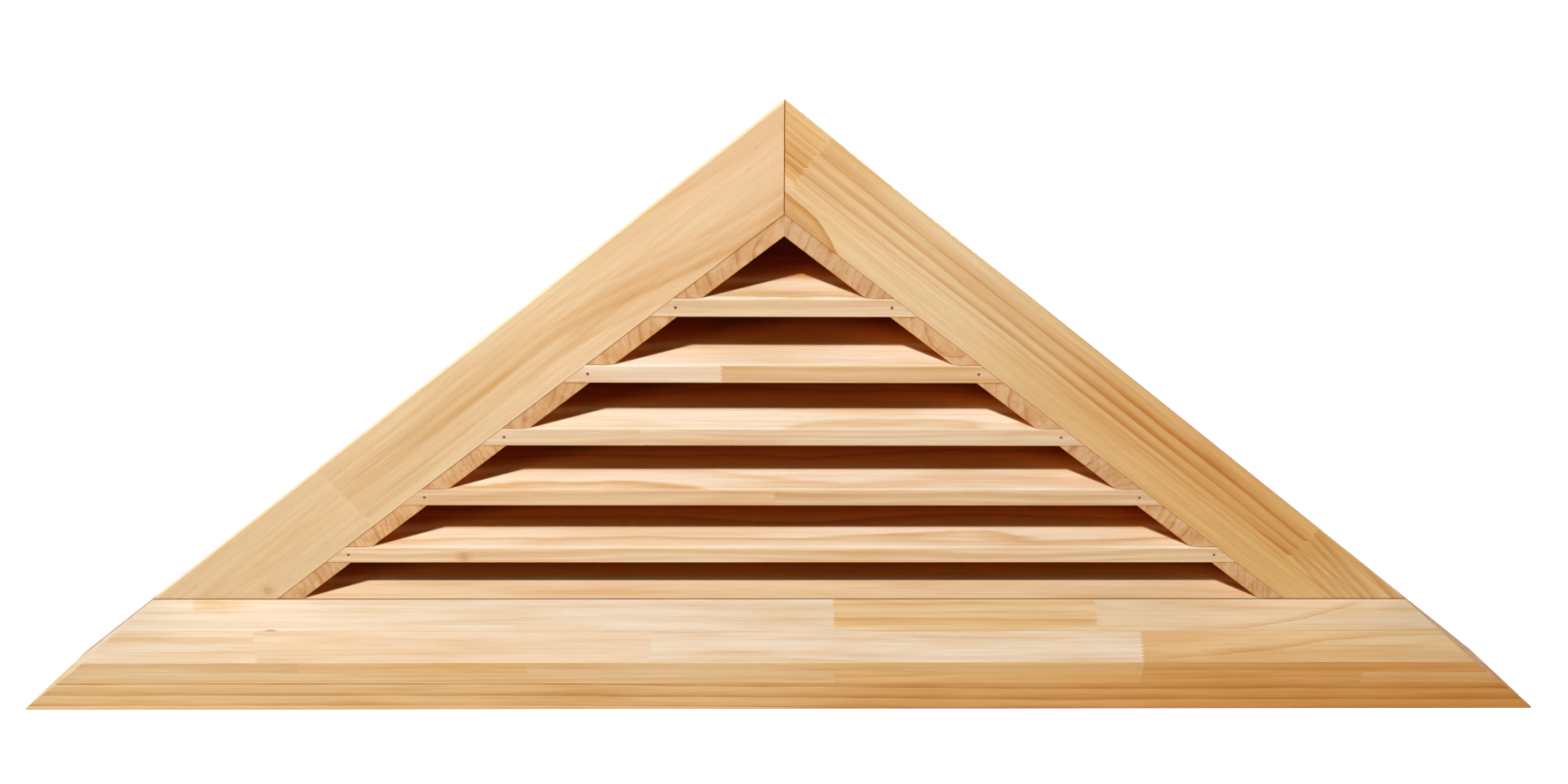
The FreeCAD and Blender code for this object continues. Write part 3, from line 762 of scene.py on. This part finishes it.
class VENT_OT_slats(bpy.types.Operator):
    """Finish the louvre slats and the bottom slat"""

    bl_idname = "vent.slats"
    bl_label = "Slats"

    def execute(self, context):
        pine, _, sizes, _ = settings()
        slope = sizes.slat_slope
        up_slat = Vector((0, math.cos(slope), math.sin(slope)))
        underside = Vector((0, math.sin(slope), -math.cos(slope)))
        # Of each slat: the staves of its front, which of them its top shows, the tints of the whole slat and
        # of its front (partly the front's own tone, partly painted light), and how light the painted shade on
        # its rear stays.
        slats = {
            "bottom_slat": (
                [Stave(-700, "blush", 0.6, 10.0, (150, 40), 0.5)], 0,
                (1.005, 0.96, 0.89), (1.05, 1.08, 1.08), 0.74),
            "louvre_slat_1": (
                [Stave(-700, "rose", 0.65, 9.0, (120, -30), 0.5)], 0,
                (1.00, 0.975, 0.96), (1.13, 1.22, 1.26), 0.95),
            "louvre_slat_2": (
                [Stave(-700, "rose", 0.7, 8.0, (90, 60), 0.5),
                 Stave(-8, "pale", 0.65, 9.0, (140, -20), 0.5)], 1,
                (1.03, 0.985, 0.965), (1.02, 1.055, 1.03), 0.95),
            "louvre_slat_3": (
                [Stave(-700, "pale", 0.5, 9.0, (130, 10), 0.5),
                 Stave(-157, "pale", 0.48, 8.0, (80, -60), 0.5)], 0,
                (1.035, 1.015, 0.99), (1.06, 1.12, 1.20), 0.95),
            "louvre_slat_4": (
                [Stave(-700, "pale", 0.40, 8.0, (150, 30), 0.5),
                 Stave(SLAT_4_JOINT, "pale", 0.55, 9.0, (100, -40), 0.6)], 0,
                (1.00, 0.935, 0.885), (1.14, 1.28, 1.485), 0.95),
            "louvre_slat_5": (
                [Stave(-700, "rose", 0.65, 9.0, (110, 50), 0.5)], 0,
                (0.935, 0.945, 0.955), (1.155, 1.185, 1.17), 0.80),
        }
        for name, (staves, on_top, whole, front_tone_and_painted_light, deep) in slats.items():
            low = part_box(name)[0]
            board = Board(name, Vector((1, 0, 0)), up_slat, Vector((0, low.y, low.z)))
            if name == "louvre_slat_1":
                board.knot((-372, 4), radius=4.5)
            fingered = fingers(board.along, board.depth, length=3.0, width=4.2)
            plumb = board.facing(Vector((0, -1, 0)), 0.8, 0.95)
            front = stave_rows(pine, fingered, board.across, [(None, staves)])
            front[1] = front[1] * FRONT_RINGS
            tone, lines, figure, _ = staves[on_top].values(pine)
            values = choose(plumb, [tone, lines * TOP_RINGS, figure, TOP_RING_EDGE], front)
            # Painted shade: the heart side colour darkens the slat's downward faces.
            board.tint(board.facing(underside), pine.heart)
            # Partly the front's own tone, partly painted light: the plumb front is made lighter than the top,
            # which the key lamp lights more.
            board.tint(plumb, front_tone_and_painted_light)
            board.tint(1.0, whole)
            if name == "louvre_slat_4":
                board.tint(plumb * (fingered > SLAT_4_JOINT * MM), (0.91, 0.795, 0.60))
            # Painted shade: from 35 mm up the slat, the top darkens and reddens towards the rear, where the
            # slat above shades it.
            darkest_painted_shade = [v * deep for v in (0.44, 0.12, 0.028)]
            board.tint(1.0, ramp(board.across, [
                (0, (1, 1, 1)), (35, (1, 1, 1)), (43, [v * (0.5 + 0.5 * deep) for v in (0.98, 0.52, 0.19)]),
                (56, [v * deep for v in (0.84, 0.30, 0.07)]), (70, darkest_painted_shade), (100, darkest_painted_shade)]))
            self.corners(board, sizes.rake_angle, plumb)
            # Painted highlight: a light orange line along the slat's lower front edge.
            board.joint(board.xyz[2] - low.z, 1.6, (1.10, 0.95, 0.74))
            # Painted highlight: a paler line along the slat's eased top front arris.
            arris = low.z + SLAT_THICKNESS / math.cos(slope)
            board.joint(abs(board.xyz[2] - arris), 2.1, (1.10, 1.17, 1.26))
            if name == "bottom_slat":
                board.joint(board.xyz[2] - SILL_HIGH.z, 1.2)
            board.finish(values)
        return {"FINISHED"}

    def corners(self, board, angle, plumb):
        """Painted shadow: deeper, redder colour where the face boards and spacers cast the key lamp's shadow
        on the slats, and painted shade in the rear corners of the bays.
        """
        x, y, z = board.xyz
        reach = y - FACE_Y
        past = past_spacers(
            reach * (-DAYLIGHT.x / DAYLIGHT.y) + x, reach * (-DAYLIGHT.z / DAYLIGHT.y) + z, angle)
        # Painted shadow: 1 where the spacers block the key lamp's light, fading at the shadow's edge.
        kept = past.step(-7 * MM, 0.5 * MM, 1.0, 0.0) * (1.0 - plumb)
        rear = board.across.step(30 * MM, 44 * MM)
        board.tint(kept * (1.0 - rear), (0.52, 0.22, 0.07))
        # Painted shade, softer and wider, on the rear of the top near the ends.
        board.tint(past.step(-42 * MM, 18 * MM, 1.0, 0.0) * rear, (0.34, 0.20, 0.11))


class VENT_OT_spacers(bpy.types.Operator):
    """Finish the end-grain blocks between the slats"""

    bl_idname = "vent.spacers"
    bl_label = "Spacer blocks"

    def execute(self, context):
        pine, _, sizes, _ = settings()
        along = Vector((0, math.cos(sizes.slat_slope), math.sin(sizes.slat_slope)))
        for side, offset in (("left", 0.9), ("right", 3.4)):
            for number in range(1, SPACERS_A_SIDE + 1):
                name = f"{side}_spacer_{number}"
                low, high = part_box(name)
                board = Board(name, along, Vector((1, 0, 0)), (low + high) / 2)
                # Each block has its own place in the log, and so its own rings and shade.
                turn = number * 2.4 + offset
                away = math.copysign(95 + 35 * math.cos(turn), math.sin(5 * turn))
                stave = Stave(
                    0, "blush", 0.6, 11.0 + 5 * math.sin(3 * turn), (60 * math.sin(turn), away), 1.4)
                # Painted highlight: a light orange line along the block's edge at the opening.
                rim = -past_spacers(board.xyz[0], board.xyz[2], sizes.rake_angle)
                board.joint(rim, 1.4, (1.16, 1.0, 0.72))
                shade = 0.05 * math.sin(7 * turn)
                board.tint(1.0, (1.15 + shade, 1.19 + shade, 1.23 + 0.6 * shade))
                board.tint(board.streaks(60, 16).step(0.47, 0.55), (0.94, 0.86, 0.78))
                board.finish(stave.values(pine), rings=(0.68, 0.46, 0.34))
                ease_edges(name, sizes.arris * 0.6)
        return {"FINISHED"}


class VENT_OT_box(bpy.types.Operator):
    """Finish the box behind the face boards"""

    bl_idname = "vent.box"
    bl_label = "Box"

    def execute(self, context):
        pine, _, sizes, _ = settings()
        level = (Vector((1, 0, 0)), Vector((0, 0, 1)))
        rows = [(None, [Stave(-900, "tan", 0.5, 10.0, (130, 60), 0.5),
                        Stave(-240, "cream", 0.4, 12.0, (180, -40), 0.4),
                        Stave(330, "honey", 0.5, 9.0, (90, 120), 0.6)])]
        for name, side in (("left_jamb", -1), ("right_jamb", 1), ("bottom_rail", 0)):
            axes = rake_axes(sizes.rake_angle, side) if side else level
            board = Board(name, *axes, Vector((0, 0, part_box(name)[1].z)))
            fingered = fingers(board.along, board.depth, length=4.0, width=6.5)
            board.finish(stave_rows(pine, fingered, board.across, rows))
        return {"FINISHED"}


# Metal

def metal_material(name, colour, roughness, spots, metallic=1.0):
    """Metal with a spangled, slightly dulled surface; spots is the size of the spangle in mm."""
    material, tree = new_material(name)
    place = object_place(tree)
    cells = node_value(
        tree, "ShaderNodeTexVoronoi", {"Vector": place, "Scale": 1 / (spots * MM)}, result="Color")
    grime = noise(place, 3.0, 0.6, 1 / (spots * 4 * MM))
    shade = parts(cells, "ShaderNodeSeparateColor")[0]
    tone = mix_colour(shade, opaque([c * 0.82 for c in colour]), opaque([min(1, c * 1.1) for c in colour]))
    tone = mix_colour(grime.step(0.5, 0.8), tone, opaque([c * 0.6 for c in colour]))
    relief = node_value(tree, "ShaderNodeBump", {"Strength": 0.3, "Distance": 0.05 * MM, "Height": grime})
    shader = node_value(
        tree, "ShaderNodeBsdfPrincipled",
        {"Base Color": tone, "Metallic": metallic, "Roughness": grime * 0.3 + (roughness - 0.1),
         "Normal": relief})
    add_node(tree, "ShaderNodeOutputMaterial", {0: shader})
    return material


def made_by_nodes(name, tree, values, start=None):
    """A plain mesh object made by a Geometry Nodes tree from a start mesh, if any, and inputs by name."""
    seed = bpy.data.objects.new(name + "_seed", start or bpy.data.meshes.new(name + "_seed"))
    bpy.context.scene.collection.objects.link(seed)
    modifier = seed.modifiers.new("Nodes", "NODES")
    modifier.node_group = tree
    for item in tree.interface.items_tree:
        if item.item_type == "SOCKET" and item.in_out == "INPUT" and item.name in values:
            modifier[item.identifier] = values[item.name]
    graph = bpy.context.evaluated_depsgraph_get()
    mesh = bpy.data.meshes.new_from_object(seed.evaluated_get(graph))
    bpy.data.objects.remove(seed)
    piece = bpy.data.objects.new(name, mesh)
    bpy.context.scene.collection.objects.link(piece)
    if not mesh.polygons:
        raise RuntimeError(name + " came out empty")
    return piece


def finish_copies(tree, copies, finish, result):
    """Makes instances real, gives them their finish and hands them out of the tree."""
    real = node_value(tree, "GeometryNodeRealizeInstances", {0: copies})
    plug(result, node_value(tree, "GeometryNodeSetMaterial", {"Geometry": real, "Material": finish}))


def screen_tree():
    """Geometry Nodes tree of a triangle of crossed wires, its base along X and its point up."""
    tree = bpy.data.node_groups.new("Wire screen", "GeometryNodeTree")
    given, result = group_ends(
        tree,
        {"Half width": "Float", "Rise": "Float", "Base height": "Float", "Back": "Float", "Pitch": "Float",
         "Wire": "Float", "Finish": "Material"},
        {"Geometry": "Geometry"})
    radius = given["Wire"] * 0.5
    rod = node_value(tree, "GeometryNodeMeshCylinder", {"Vertices": 6, "Radius": radius, "Depth": 1.0})
    both = tree.nodes.new("GeometryNodeJoinGeometry")
    for upright in (True, False):
        axis = 0 if upright else 2
        reach = given["Half width"] * 2.0 if upright else given["Rise"]
        count = calc("FLOOR", reach / given["Pitch"])
        first = count * given["Pitch"] * -0.5 if upright else given["Pitch"] * 0.5 + given["Base height"]
        line = node_value(
            tree, "GeometryNodeMeshLine",
            {"Count": count, "Start Location": combine({axis: first}),
             "Offset": combine({axis: given["Pitch"]})},
            mode="OFFSET")
        x, _, z = parts(node_value(tree, "GeometryNodeInputPosition"))
        if upright:
            length = (1.0 - abs(x) / given["Half width"]) * given["Rise"]
            spot = {0: x, 1: given["Back"] - radius, 2: length * 0.5 + given["Base height"]}
            turn = (0.0, 0.0, 0.0)
        else:
            share = (z - given["Base height"]) / given["Rise"]
            length = (1.0 - share) * given["Half width"] * 2.0
            spot = {0: x, 1: given["Back"] - radius * 2.8, 2: z}
            turn = (0.0, math.pi / 2, 0.0)
        kept = node_value(
            tree, "GeometryNodeStoreNamedAttribute",
            {"Geometry": line, "Name": "stretch", "Value": combine({0: 1.0, 1: 1.0, 2: length})},
            data_type="FLOAT_VECTOR")
        moved = node_value(tree, "GeometryNodeSetPosition", {"Geometry": kept, "Position": combine(spot)})
        stretch = node_value(
            tree, "GeometryNodeInputNamedAttribute", {"Name": "stretch"}, data_type="FLOAT_VECTOR")
        wires = node_value(
            tree, "GeometryNodeInstanceOnPoints",
            {"Points": moved, "Instance": rod, "Rotation": turn, "Scale": stretch})
        plug(both.inputs[0], wires)
    finish_copies(tree, Value(both.outputs[0]), given["Finish"], result[0])
    return tree


class VENT_OT_screen(bpy.types.Operator):
    """Make the wire screen over the back of the box, with its folded binding"""

    bl_idname = "vent.screen"
    bl_label = "Insect screen"

    def execute(self, context):
        _, metal, sizes, _ = settings()
        low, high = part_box("insect_screen")
        zinc = metal_material("Galvanised wire", metal.zinc, 0.42, 3.0)
        # The wires end under the binding, a little inside the screen's outline.
        piece = made_by_nodes("wire_screen", screen_tree(), {
            "Half width": high.x - 6 * MM, "Rise": high.z - low.z - 5 * MM, "Base height": low.z + 2 * MM,
            "Back": high.y - 0.1 * MM, "Pitch": sizes.mesh_pitch, "Wire": sizes.mesh_wire, "Finish": zinc})
        self.bind(piece.data, low, high, sizes.binding)
        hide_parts("insect_screen")
        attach(piece, ROOT)
        return {"FINISHED"}

    def bind(self, mesh, low, high, width):
        """Adds a strip folded over the screen's three edges, with its inner edge eased."""
        corners = [Vector((low.x, 0, low.z)), Vector((high.x, 0, low.z)),
                   Vector(((low.x + high.x) / 2, 0, high.z))]

        def ring(inset, y):
            """Vertices of the screen's outline, moved in by inset."""
            verts = []
            for number, corner in enumerate(corners):
                before = (corner - corners[number - 1]).normalized()
                after = (corners[(number + 1) % 3] - corner).normalized()
                inward = (after - before).normalized()
                place = corner + inward * (inset / math.sin(before.angle(-after) / 2))
                verts.append(made.verts.new((place.x, y, place.z)))
            return verts

        made = bmesh.new()
        made.from_mesh(mesh)
        face, wall = high.y, low.y + 0.05 * MM
        rings = [ring(inset, y) for inset, y in (
            (0.0, face - 0.25 * MM), (0.5 * MM, face), (width - 1.5 * MM, face),
            (width - 0.6 * MM, face - 0.15 * MM), (width, face - 0.25 * MM), (width, wall), (0.0, wall))]
        for number, layer in enumerate(rings):
            following = rings[(number + 1) % len(rings)]
            for i in range(3):
                j = (i + 1) % 3
                made.faces.new((layer[i], following[i], following[j], layer[j]))
        bmesh.ops.recalc_face_normals(made, faces=made.faces)
        made.to_mesh(mesh)
        made.free()


def staple_tree():
    """Geometry Nodes tree that sets a bent-wire staple on every point, turned by its turn attribute."""
    tree = bpy.data.node_groups.new("Staples", "GeometryNodeTree")
    given, result = group_ends(
        tree,
        {"Points": "Geometry", "Crown": "Float", "Leg": "Float", "Wire": "Float", "Finish": "Material"},
        {"Geometry": "Geometry"})
    line = node_value(tree, "GeometryNodeMeshLine", {"Count": 4})
    index = node_value(tree, "GeometryNodeInputIndex")
    on_crown = calc("COMPARE", index, 1.5, 0.6)
    bend = combine({0: ((index > 1.5) - 0.5) * given["Crown"], 1: (on_crown - 1.0) * given["Leg"]})
    bent = node_value(tree, "GeometryNodeSetPosition", {"Geometry": line, "Position": bend})
    path = node_value(tree, "GeometryNodeMeshToCurve", {0: bent})
    rounded = node_value(
        tree, "GeometryNodeFilletCurve", {"Curve": path, "Count": 3, "Radius": given["Wire"]}, mode="POLY")
    profile = node_value(
        tree, "GeometryNodeCurvePrimitiveCircle", {"Resolution": 8, "Radius": given["Wire"] * 0.5})
    solid = node_value(
        tree, "GeometryNodeCurveToMesh", {"Curve": rounded, "Profile Curve": profile, "Fill Caps": True})
    turn = node_value(tree, "GeometryNodeInputNamedAttribute", {"Name": "turn"}, data_type="FLOAT")
    copies = node_value(
        tree, "GeometryNodeInstanceOnPoints",
        {"Points": given["Points"], "Instance": solid, "Rotation": combine({1: turn})})
    finish_copies(tree, copies, given["Finish"], result[0])
    return tree


class VENT_OT_staples(bpy.types.Operator):
    """Make the staples that hold the screen"""

    bl_idname = "vent.staples"
    bl_label = "Staples"

    def execute(self, context):
        _, metal, sizes, _ = settings()
        spots = self.spots(sizes.staple_wire)
        points = bpy.data.meshes.new("staple_spots")
        points.from_pydata([spot for spot, _ in spots], [], [])
        turns = points.attributes.new("turn", "FLOAT", "POINT")
        for item, (_, turn) in zip(turns.data, spots):
            item.value = turn
        steel = metal_material("Staple steel", metal.staple, 0.35, 1.5)
        piece = made_by_nodes("staples", staple_tree(), {
            "Crown": sizes.staple_crown - sizes.staple_wire, "Leg": sizes.staple_leg,
            "Wire": sizes.staple_wire, "Finish": steel}, points)
        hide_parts("screen_staples")
        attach(piece, ROOT)
        return {"FINISHED"}

    def spots(self, wire):
        """Middle of each packed staple's crown and its turn about Y."""
        loose = bmesh.new()
        loose.from_mesh(NODES["screen_staples"].data)
        bmesh.ops.remove_doubles(loose, verts=loose.verts, dist=0.01 * MM)
        left = set(loose.verts)
        found = []
        while left:
            waiting = [left.pop()]
            group = []
            while waiting:
                vert = waiting.pop()
                group.append(vert.co.copy())
                for edge in vert.link_edges:
                    other = edge.other_vert(vert)
                    if other in left:
                        left.remove(other)
                        waiting.append(other)
            back = max(p.y for p in group)
            crown = [p for p in group if p.y > back - 0.2 * MM]
            far = max(crown, key=lambda p: (p - crown[0]).length)
            other = max(crown, key=lambda p: (p - far).length)
            span = far - other
            if span.x < 0:
                span = -span
            middle = sum(group, Vector()) / len(group)
            found.append(((middle.x, back - wire / 2, middle.z), -math.atan2(span.z, span.x)))
        loose.free()
        return sorted(found)


class VENT_OT_brads(bpy.types.Operator):
    """Finish the brads in the slat ends"""

    bl_idname = "vent.brads"
    bl_label = "Brads"

    def execute(self, context):
        _, metal, _, _ = settings()
        finish_node("slat_brads", metal_material("Brad steel", metal.brad, 0.7, 0.8, 0.2))
        return {"FINISHED"}


class VENT_OT_stage(bpy.types.Operator):
    """Set the floor, the light and the camera"""

    bl_idname = "vent.stage"
    bl_label = "Stage"

    def execute(self, context):
        _, _, _, stage = settings()
        scene = context.scene
        scene.view_settings.view_transform = "Standard"
        self.floor(scene, stage)
        self.lamp(scene, "key", DAYLIGHT, KEY_DISTANCE, stage.key_power, stage.key_radius)
        self.lamp(scene, "back", BACKLIGHT, BACK_DISTANCE, stage.back_power, stage.back_radius)
        self.room(scene, stage)
        self.camera(scene, stage)
        return {"FINISHED"}

    def floor(self, scene, stage):
        """A wide floor that looks white, and throws warm light at the front of the vent."""
        mesh = bpy.data.meshes.new("floor")
        made = bmesh.new()
        bmesh.ops.create_grid(made, x_segments=2, y_segments=2, size=80.0)
        made.to_mesh(mesh)
        made.free()
        mesh.transform(Matrix.Translation((0, 0, CAD_BOX[0].z - 0.1 * MM)))
        floor = bpy.data.objects.new("floor", mesh)
        scene.collection.objects.link(floor)
        material, tree = new_material("Floor")
        seen = self.seen(tree)
        place = object_place(tree)
        behind = parts(place)[1].step(0.0, 0.12)
        thrown = mix_colour(behind, opaque(stage.floor_colour), opaque(stage.floor_behind))
        thrown = mix_colour(noise(place, scale=40.0).step(0.2, 0.8, 0.0, 0.04), thrown, (1, 1, 1, 1))
        colour = mix_colour(seen, thrown, (0.93, 0.93, 0.93, 1.0))
        matt = node_value(tree, "ShaderNodeBsdfDiffuse", {"Color": colour})
        away = node_value(tree, "ShaderNodeVectorMath", {0: place}, "Value", operation="LENGTH")
        lift = away.step(0.7, 2.6, 0.34, 1.0)
        glow = node_value(tree, "ShaderNodeEmission", {"Strength": seen * lift})
        both = node_value(tree, "ShaderNodeAddShader", {0: matt, 1: glow})
        add_node(tree, "ShaderNodeOutputMaterial", {0: both})
        mesh.materials.append(material)

    def seen(self, tree):
        """1 for rays from the camera, mirrors and glass."""
        path = tree.nodes.new("ShaderNodeLightPath").outputs
        first = calc("MAXIMUM", Value(path["Is Camera Ray"]), Value(path["Is Glossy Ray"]))
        return calc("MAXIMUM", first, Value(path["Is Transmission Ray"]))

    def lamp(self, scene, name, way, away, power, radius):
        """A round lamp that shines a given way on the middle of the vent from so far away."""
        data = bpy.data.lights.new(name, "AREA")
        data.shape = "DISK"
        data.size = 2 * radius
        data.energy = power
        lamp = bpy.data.objects.new(name, data)
        lamp.location = LIT_PLACE - way * away
        lamp.rotation_mode = "QUATERNION"
        lamp.rotation_quaternion = way.to_track_quat("-Z", "Y")
        scene.collection.objects.link(lamp)

    def room(self, scene, stage):
        """White to the eye, and a little even warm light on the vent."""
        world = bpy.data.worlds.new("room")
        world.use_nodes = True
        tree = world.node_tree
        tree.nodes.clear()
        seen = self.seen(tree)
        strength = mix_value(seen, stage.sky_strength, 1.0)
        colour = mix_colour(seen, opaque(stage.room_colour), (1, 1, 1, 1))
        sky = node_value(tree, "ShaderNodeBackground", {"Color": colour, "Strength": strength})
        add_node(tree, "ShaderNodeOutputWorld", {0: sky})
        scene.world = world

    def camera(self, scene, stage):
        """The photograph's camera."""
        ahead = Vector((math.sin(CAMERA_PAN) * math.cos(CAMERA_TILT),
                        math.cos(CAMERA_PAN) * math.cos(CAMERA_TILT), -math.sin(CAMERA_TILT)))
        level = Vector((math.cos(CAMERA_PAN), -math.sin(CAMERA_PAN), 0))
        right = math.cos(CAMERA_ROLL) * level + math.sin(CAMERA_ROLL) * level.cross(ahead)
        turn = Matrix((right, right.cross(ahead), -ahead)).transposed().to_4x4()
        data = bpy.data.cameras.new("camera")
        data.sensor_width = SENSOR_WIDTH
        data.lens = stage.lens
        camera = bpy.data.objects.new("camera", data)
        camera.matrix_world = Matrix.Translation(CAMERA_PLACE) @ turn
        scene.collection.objects.link(camera)
        scene.camera = camera


OPERATORS = (
    VENT_OT_face_boards, VENT_OT_sill, VENT_OT_slats, VENT_OT_spacers, VENT_OT_box,
    VENT_OT_screen, VENT_OT_staples, VENT_OT_brads, VENT_OT_stage)


class VENT_PT_panel(bpy.types.Panel):
    """Lists the steps that dress the vent"""

    bl_idname = "VENT_PT_panel"
    bl_label = "Gable vent"
    bl_space_type = "VIEW_3D"
    bl_region_type = "UI"
    bl_category = "Gable vent"

    def draw(self, context):
        for operator in OPERATORS:
            self.layout.operator(operator.bl_idname)
        for group in settings():
            for name in group.__annotations__:
                self.layout.prop(group, name)


GROUPS = (
    ("vent_pine", PineColours), ("vent_metal", MetalColours), ("vent_sizes", VentSizes),
    ("vent_stage", StageSettings))


def register():
    """Adds the settings, the operators and the panel."""
    for name, group in GROUPS:
        bpy.utils.register_class(group)
        setattr(bpy.types.Scene, name, PointerProperty(type=group))
    for kind in (*OPERATORS, VENT_PT_panel):
        bpy.utils.register_class(kind)


def unregister():
    """Takes away what register added."""
    for kind in (VENT_PT_panel, *reversed(OPERATORS)):
        bpy.utils.unregister_class(kind)
    for name, group in reversed(GROUPS):
        delattr(bpy.types.Scene, name)
        bpy.utils.unregister_class(group)


def main():
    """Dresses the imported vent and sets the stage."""
    register()
    bpy.ops.vent.face_boards()
    bpy.ops.vent.sill()
    bpy.ops.vent.slats()
    bpy.ops.vent.spacers()
    bpy.ops.vent.box()
    bpy.ops.vent.screen()
    bpy.ops.vent.staples()
    bpy.ops.vent.brads()
    bpy.ops.vent.stage()


if __name__ == "__main__":
    main()
